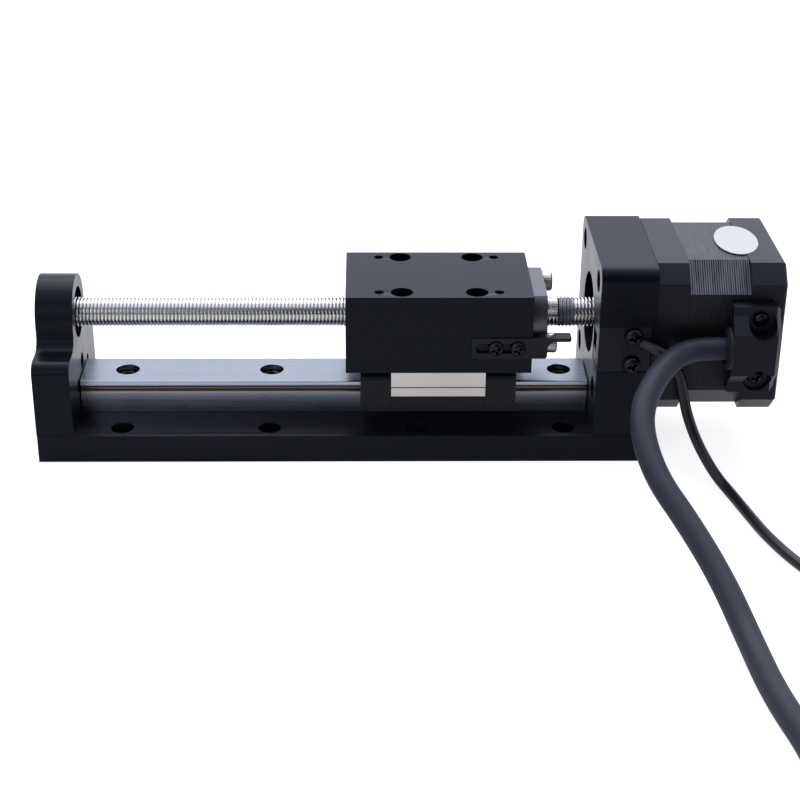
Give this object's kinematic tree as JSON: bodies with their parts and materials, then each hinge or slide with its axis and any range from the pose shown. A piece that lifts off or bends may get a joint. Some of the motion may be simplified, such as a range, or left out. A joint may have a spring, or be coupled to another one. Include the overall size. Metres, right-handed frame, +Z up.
{
  "type": "ball screw linear actuator",
  "caption": "Compact linear stage: a stepping motor's ball screw moves a slide table on a profile rail over a flat base.",
  "frame": {"origin": "centre of the base plate's underside", "axes": "+X along the screw towards the motor, +Y away from the side with the home sensor and the cables, +Z up from the base to the table"},
  "size_m": [0.261, 0.2497, 0.0563],
  "materials": {
    "black_anodised": "satin black anodised aluminium",
    "black_cast": "satin black painted die-cast aluminium",
    "rail_steel": "ground bearing steel",
    "carriage_steel": "fine-ground stainless steel",
    "black_plastic": "moulded black plastic",
    "black_rubber": "black nitrile rubber",
    "bright_steel": "bright rolled steel",
    "grey_steel": "stamped steel",
    "blackened_steel": "blackened steel",
    "plated_screws": "plated steel screws",
    "black_screws": "black oxide steel screws",
    "laminations": "edges of stacked electrical steel sheets, bare",
    "copper_windings": "enamelled copper wire",
    "white_label": "white printed film, left blank",
    "cable_sheath": "matte black cable sheath",
    "white_connector": "natural white nylon"
  },
  "bodies": {
    "base": {"base_plate": "black_anodised", "end_bearing_block": "black_anodised", "motor_bracket": "black_anodised", "guide_rail": "rail_steel", "end_bearing_outer_ring": "bright_steel", "end_bearing_shields": "grey_steel", "motor_front_flange": "black_cast", "motor_stator": "laminations", "motor_winding_front": "copper_windings", "motor_winding_rear": "copper_windings", "motor_rear_cap": "black_cast", "motor_front_bearing_outer_ring": "bright_steel", "motor_front_bearing_shields": "grey_steel", "motor_rear_bearing_outer_ring": "bright_steel", "motor_rear_bearing_shields": "grey_steel", "cable_gland_housing": "black_cast", "cable_grommet": "black_rubber", "motor_label": "white_label", "home_sensor": "black_plastic", "rail_screws": "plated_screws", "foot_screws": "plated_screws", "motor_screws": "plated_screws", "motor_body_screws": "plated_screws", "gland_screws": "black_screws", "sensor_screws": "black_screws", "motor_cable": "cable_sheath", "motor_cable_coil": "cable_sheath", "motor_cable_connector": "white_connector", "sensor_cable": "cable_sheath", "sensor_cable_coil": "cable_sheath", "sensor_cable_connector": "white_connector"},
    "table": {"carriage_block": "carriage_steel", "carriage_retainer_front": "black_plastic", "carriage_retainer_rear": "black_plastic", "carriage_end_cap_left": "black_plastic", "carriage_end_seal_left": "black_rubber", "carriage_end_cap_right": "black_plastic", "carriage_end_seal_right": "black_rubber", "slide_table": "black_anodised", "ball_nut": "blackened_steel", "nut_wiper_right": "black_rubber", "nut_wiper_left": "black_rubber", "table_screws": "plated_screws", "nut_screws": "plated_screws", "nut_washers": "grey_steel", "home_flag": "blackened_steel", "flag_screws": "black_screws"},
    "screw": {"ball_screw": "bright_steel", "screw_circlip": "blackened_steel", "end_bearing_inner_ring": "bright_steel", "motor_rotor": "laminations", "motor_front_bearing_inner_ring": "bright_steel", "motor_rear_bearing_inner_ring": "bright_steel"}
  },
  "joints": [
    {"name": "screw_spin", "type": "hinge", "parent": "base", "child": "screw", "pos_m": [0, 0, 0.035], "axis": [1, 0, 0], "range_deg": [-3132, 26100]},
    {"name": "table_slide", "type": "slide", "parent": "base", "child": "table", "axis": [1, 0, 0], "range_m": [-0.0725, 0.0087]}
  ],
  "couplings": [
    {"joint": "screw_spin", "follows": "table_slide", "rad_per_m": -6283.2}
  ]
}
